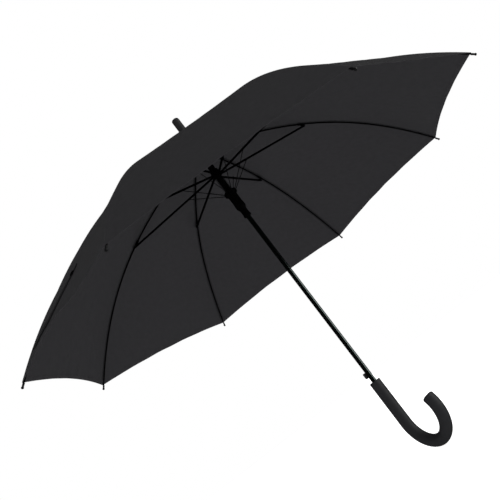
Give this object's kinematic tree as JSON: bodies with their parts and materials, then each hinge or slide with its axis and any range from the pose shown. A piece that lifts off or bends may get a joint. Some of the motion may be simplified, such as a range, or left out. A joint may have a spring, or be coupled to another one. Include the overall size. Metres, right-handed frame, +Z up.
{
  "type": "golf umbrella",
  "caption": "Automatic stick umbrella with a crook handle, ribbed fabric canopy and a sprung double runner that folds the canopy along the shaft.",
  "frame": {"origin": "on the shaft's axis at the level of the crook's lowest point, umbrella upright and open", "axes": "+Z up along the shaft towards the ferrule, +X from the shaft towards the crook's hook"},
  "size_m": [1.2042, 1.2042, 0.9674],
  "materials": {
    "black_fabric": "matt tightly woven polyester",
    "soft_touch_grip": "matt soft-touch coating",
    "gloss_black_steel": "gloss black enamel",
    "black_frame_steel": "satin black coating",
    "black_nylon": "moulded, satin",
    "spring_steel": "black oxide wire"
  },
  "bodies": {
    "root": {"handle": "soft_touch_grip", "shaft": "gloss_black_steel", "stop_pin": "spring_steel", "ferrule": "black_nylon", "canopy_cap": "black_fabric", "crown": "black_nylon", "crown_wire": "spring_steel", "latch_spring": "spring_steel"},
    "upper_runner": {"upper_runner": "black_nylon", "opening_spring": "spring_steel"},
    "lower_runner": {"lower_runner": "black_nylon"},
    "release_button": {"release_button": "black_nylon"},
    "rib_1": {"rib_inner_1": "black_frame_steel", "canopy_panel_1": "black_fabric"},
    "rib_end_1": {"rib_outer_1": "black_frame_steel", "rib_tip_1": "black_nylon"},
    "stretcher_1": {"stretcher_1": "black_frame_steel"},
    "link_1": {"link_1": "spring_steel"},
    "rib_2": {"rib_inner_2": "black_frame_steel", "canopy_panel_2": "black_fabric"},
    "rib_end_2": {"rib_outer_2": "black_frame_steel", "rib_tip_2": "black_nylon"},
    "stretcher_2": {"stretcher_2": "black_frame_steel"},
    "link_2": {"link_2": "spring_steel"},
    "rib_3": {"rib_inner_3": "black_frame_steel", "canopy_panel_3": "black_fabric"},
    "rib_end_3": {"rib_outer_3": "black_frame_steel", "rib_tip_3": "black_nylon"},
    "stretcher_3": {"stretcher_3": "black_frame_steel"},
    "link_3": {"link_3": "spring_steel"},
    "rib_4": {"rib_inner_4": "black_frame_steel", "canopy_panel_4": "black_fabric"},
    "rib_end_4": {"rib_outer_4": "black_frame_steel", "rib_tip_4": "black_nylon"},
    "stretcher_4": {"stretcher_4": "black_frame_steel"},
    "link_4": {"link_4": "spring_steel"},
    "rib_5": {"rib_inner_5": "black_frame_steel", "canopy_panel_5": "black_fabric"},
    "rib_end_5": {"rib_outer_5": "black_frame_steel", "rib_tip_5": "black_nylon"},
    "stretcher_5": {"stretcher_5": "black_frame_steel"},
    "link_5": {"link_5": "spring_steel"},
    "rib_6": {"rib_inner_6": "black_frame_steel", "canopy_panel_6": "black_fabric"},
    "rib_end_6": {"rib_outer_6": "black_frame_steel", "rib_tip_6": "black_nylon"},
    "stretcher_6": {"stretcher_6": "black_frame_steel"},
    "link_6": {"link_6": "spring_steel"},
    "rib_7": {"rib_inner_7": "black_frame_steel", "canopy_panel_7": "black_fabric"},
    "rib_end_7": {"rib_outer_7": "black_frame_steel", "rib_tip_7": "black_nylon"},
    "stretcher_7": {"stretcher_7": "black_frame_steel"},
    "link_7": {"link_7": "spring_steel"},
    "rib_8": {"rib_inner_8": "black_frame_steel", "canopy_panel_8": "black_fabric"},
    "rib_end_8": {"rib_outer_8": "black_frame_steel", "rib_tip_8": "black_nylon"},
    "stretcher_8": {"stretcher_8": "black_frame_steel"},
    "link_8": {"link_8": "spring_steel"}
  },
  "joints": [
    {"name": "runner_slide", "type": "slide", "parent": "root", "child": "upper_runner", "axis": [0, 0, -1], "range_m": [0, 0.48374], "stiffness_N_per_m": 30, "springref_m": -0.5, "deforming": ["canopy_panel_1", "canopy_panel_2", "canopy_panel_3", "canopy_panel_4", "canopy_panel_5", "canopy_panel_6", "canopy_panel_7", "canopy_panel_8"]},
    {"name": "lower_runner_slide", "type": "slide", "parent": "upper_runner", "child": "lower_runner", "axis": [0, 0, 1], "range_m": [0, 0.0394], "deforming": ["opening_spring"]},
    {"name": "button_press", "type": "slide", "parent": "root", "child": "release_button", "axis": [1, 0, 0], "range_m": [0, 0.0026], "stiffness_N_per_m": 200, "springref_m": -0.002, "deforming": ["latch_spring"]},
    {"name": "rib_hinge_1", "type": "hinge", "parent": "root", "child": "rib_1", "pos_m": [0.01011, 0.00735, 0.86764], "axis": [-0.5878, 0.809, 0], "range_deg": [0, 73.17]},
    {"name": "rib_flex_1", "type": "hinge", "parent": "rib_1", "child": "rib_end_1", "pos_m": [0.23542, 0.17105, 0.8005], "axis": [-0.5878, 0.809, 0], "range_deg": [-16.98, 0]},
    {"name": "stretcher_hinge_1", "type": "hinge", "parent": "upper_runner", "child": "stretcher_1", "pos_m": [0.0093, 0.00676, 0.7851], "axis": [-0.5878, 0.809, 0], "range_deg": [-84.49, 0]},
    {"name": "link_hinge_1", "type": "hinge", "parent": "stretcher_1", "child": "link_1", "pos_m": [0.07719, 0.05609, 0.78882], "axis": [-0.5878, 0.809, 0], "range_deg": [0, 32.85]},
    {"name": "rib_hinge_2", "type": "hinge", "parent": "root", "child": "rib_2", "pos_m": [0.00196, 0.01235, 0.86764], "axis": [-0.9877, 0.1564, 0], "range_deg": [0, 73.17]},
    {"name": "rib_flex_2", "type": "hinge", "parent": "rib_2", "child": "rib_end_2", "pos_m": [0.04552, 0.28742, 0.8005], "axis": [-0.9877, 0.1564, 0], "range_deg": [-16.98, 0]},
    {"name": "stretcher_hinge_2", "type": "hinge", "parent": "upper_runner", "child": "stretcher_2", "pos_m": [0.0018, 0.01136, 0.7851], "axis": [-0.9877, 0.1564, 0], "range_deg": [-84.49, 0]},
    {"name": "link_hinge_2", "type": "hinge", "parent": "stretcher_2", "child": "link_2", "pos_m": [0.01493, 0.09424, 0.78882], "axis": [-0.9877, 0.1564, 0], "range_deg": [0, 32.85]},
    {"name": "rib_hinge_3", "type": "hinge", "parent": "root", "child": "rib_3", "pos_m": [-0.00735, 0.01011, 0.86764], "axis": [-0.809, -0.5878, 0], "range_deg": [0, 73.17]},
    {"name": "rib_flex_3", "type": "hinge", "parent": "rib_3", "child": "rib_end_3", "pos_m": [-0.17105, 0.23542, 0.8005], "axis": [-0.809, -0.5878, 0], "range_deg": [-16.98, 0]},
    {"name": "stretcher_hinge_3", "type": "hinge", "parent": "upper_runner", "child": "stretcher_3", "pos_m": [-0.00676, 0.0093, 0.7851], "axis": [-0.809, -0.5878, 0], "range_deg": [-84.49, 0]},
    {"name": "link_hinge_3", "type": "hinge", "parent": "stretcher_3", "child": "link_3", "pos_m": [-0.05609, 0.07719, 0.78882], "axis": [-0.809, -0.5878, 0], "range_deg": [0, 32.85]},
    {"name": "rib_hinge_4", "type": "hinge", "parent": "root", "child": "rib_4", "pos_m": [-0.01235, 0.00196, 0.86764], "axis": [-0.1564, -0.9877, 0], "range_deg": [0, 73.17]},
    {"name": "rib_flex_4", "type": "hinge", "parent": "rib_4", "child": "rib_end_4", "pos_m": [-0.28742, 0.04552, 0.8005], "axis": [-0.1564, -0.9877, 0], "range_deg": [-16.98, 0]},
    {"name": "stretcher_hinge_4", "type": "hinge", "parent": "upper_runner", "child": "stretcher_4", "pos_m": [-0.01136, 0.0018, 0.7851], "axis": [-0.1564, -0.9877, 0], "range_deg": [-84.49, 0]},
    {"name": "link_hinge_4", "type": "hinge", "parent": "stretcher_4", "child": "link_4", "pos_m": [-0.09424, 0.01493, 0.78882], "axis": [-0.1564, -0.9877, 0], "range_deg": [0, 32.85]},
    {"name": "rib_hinge_5", "type": "hinge", "parent": "root", "child": "rib_5", "pos_m": [-0.01011, -0.00735, 0.86764], "axis": [0.5878, -0.809, 0], "range_deg": [0, 73.17]},
    {"name": "rib_flex_5", "type": "hinge", "parent": "rib_5", "child": "rib_end_5", "pos_m": [-0.23542, -0.17105, 0.8005], "axis": [0.5878, -0.809, 0], "range_deg": [-16.98, 0]},
    {"name": "stretcher_hinge_5", "type": "hinge", "parent": "upper_runner", "child": "stretcher_5", "pos_m": [-0.0093, -0.00676, 0.7851], "axis": [0.5878, -0.809, 0], "range_deg": [-84.49, 0]},
    {"name": "link_hinge_5", "type": "hinge", "parent": "stretcher_5", "child": "link_5", "pos_m": [-0.07719, -0.05609, 0.78882], "axis": [0.5878, -0.809, 0], "range_deg": [0, 32.85]},
    {"name": "rib_hinge_6", "type": "hinge", "parent": "root", "child": "rib_6", "pos_m": [-0.00196, -0.01235, 0.86764], "axis": [0.9877, -0.1564, 0], "range_deg": [0, 73.17]},
    {"name": "rib_flex_6", "type": "hinge", "parent": "rib_6", "child": "rib_end_6", "pos_m": [-0.04552, -0.28742, 0.8005], "axis": [0.9877, -0.1564, 0], "range_deg": [-16.98, 0]},
    {"name": "stretcher_hinge_6", "type": "hinge", "parent": "upper_runner", "child": "stretcher_6", "pos_m": [-0.0018, -0.01136, 0.7851], "axis": [0.9877, -0.1564, 0], "range_deg": [-84.49, 0]},
    {"name": "link_hinge_6", "type": "hinge", "parent": "stretcher_6", "child": "link_6", "pos_m": [-0.01493, -0.09424, 0.78882], "axis": [0.9877, -0.1564, 0], "range_deg": [0, 32.85]},
    {"name": "rib_hinge_7", "type": "hinge", "parent": "root", "child": "rib_7", "pos_m": [0.00735, -0.01011, 0.86764], "axis": [0.809, 0.5878, 0], "range_deg": [0, 73.17]},
    {"name": "rib_flex_7", "type": "hinge", "parent": "rib_7", "child": "rib_end_7", "pos_m": [0.17105, -0.23542, 0.8005], "axis": [0.809, 0.5878, 0], "range_deg": [-16.98, 0]},
    {"name": "stretcher_hinge_7", "type": "hinge", "parent": "upper_runner", "child": "stretcher_7", "pos_m": [0.00676, -0.0093, 0.7851], "axis": [0.809, 0.5878, 0], "range_deg": [-84.49, 0]},
    {"name": "link_hinge_7", "type": "hinge", "parent": "stretcher_7", "child": "link_7", "pos_m": [0.05609, -0.07719, 0.78882], "axis": [0.809, 0.5878, 0], "range_deg": [0, 32.85]},
    {"name": "rib_hinge_8", "type": "hinge", "parent": "root", "child": "rib_8", "pos_m": [0.01235, -0.00196, 0.86764], "axis": [0.1564, 0.9877, 0], "range_deg": [0, 73.17]},
    {"name": "rib_flex_8", "type": "hinge", "parent": "rib_8", "child": "rib_end_8", "pos_m": [0.28742, -0.04552, 0.8005], "axis": [0.1564, 0.9877, 0], "range_deg": [-16.98, 0]},
    {"name": "stretcher_hinge_8", "type": "hinge", "parent": "upper_runner", "child": "stretcher_8", "pos_m": [0.01136, -0.0018, 0.7851], "axis": [0.1564, 0.9877, 0], "range_deg": [-84.49, 0]},
    {"name": "link_hinge_8", "type": "hinge", "parent": "stretcher_8", "child": "link_8", "pos_m": [0.09424, -0.01493, 0.78882], "axis": [0.1564, 0.9877, 0], "range_deg": [0, 32.85]}
  ],
  "couplings": [
    {"joint": "lower_runner_slide", "follows": "runner_slide", "ratio": 0.081418},
    {"joint": "rib_hinge_1", "follows": "runner_slide", "rad_per_m": 2.64},
    {"joint": "rib_flex_1", "follows": "runner_slide", "rad_per_m": -0.61266},
    {"joint": "stretcher_hinge_1", "follows": "runner_slide", "rad_per_m": -3.0483},
    {"joint": "link_hinge_1", "follows": "runner_slide", "rad_per_m": 1.185},
    {"joint": "rib_hinge_2", "follows": "runner_slide", "rad_per_m": 2.64},
    {"joint": "rib_flex_2", "follows": "runner_slide", "rad_per_m": -0.61266},
    {"joint": "stretcher_hinge_2", "follows": "runner_slide", "rad_per_m": -3.0483},
    {"joint": "link_hinge_2", "follows": "runner_slide", "rad_per_m": 1.185},
    {"joint": "rib_hinge_3", "follows": "runner_slide", "rad_per_m": 2.64},
    {"joint": "rib_flex_3", "follows": "runner_slide", "rad_per_m": -0.61266},
    {"joint": "stretcher_hinge_3", "follows": "runner_slide", "rad_per_m": -3.0483},
    {"joint": "link_hinge_3", "follows": "runner_slide", "rad_per_m": 1.185},
    {"joint": "rib_hinge_4", "follows": "runner_slide", "rad_per_m": 2.64},
    {"joint": "rib_flex_4", "follows": "runner_slide", "rad_per_m": -0.61266},
    {"joint": "stretcher_hinge_4", "follows": "runner_slide", "rad_per_m": -3.0483},
    {"joint": "link_hinge_4", "follows": "runner_slide", "rad_per_m": 1.185},
    {"joint": "rib_hinge_5", "follows": "runner_slide", "rad_per_m": 2.64},
    {"joint": "rib_flex_5", "follows": "runner_slide", "rad_per_m": -0.61266},
    {"joint": "stretcher_hinge_5", "follows": "runner_slide", "rad_per_m": -3.0483},
    {"joint": "link_hinge_5", "follows": "runner_slide", "rad_per_m": 1.185},
    {"joint": "rib_hinge_6", "follows": "runner_slide", "rad_per_m": 2.64},
    {"joint": "rib_flex_6", "follows": "runner_slide", "rad_per_m": -0.61266},
    {"joint": "stretcher_hinge_6", "follows": "runner_slide", "rad_per_m": -3.0483},
    {"joint": "link_hinge_6", "follows": "runner_slide", "rad_per_m": 1.185},
    {"joint": "rib_hinge_7", "follows": "runner_slide", "rad_per_m": 2.64},
    {"joint": "rib_flex_7", "follows": "runner_slide", "rad_per_m": -0.61266},
    {"joint": "stretcher_hinge_7", "follows": "runner_slide", "rad_per_m": -3.0483},
    {"joint": "link_hinge_7", "follows": "runner_slide", "rad_per_m": 1.185},
    {"joint": "rib_hinge_8", "follows": "runner_slide", "rad_per_m": 2.64},
    {"joint": "rib_flex_8", "follows": "runner_slide", "rad_per_m": -0.61266},
    {"joint": "stretcher_hinge_8", "follows": "runner_slide", "rad_per_m": -3.0483},
    {"joint": "link_hinge_8", "follows": "runner_slide", "rad_per_m": 1.185}
  ]
}
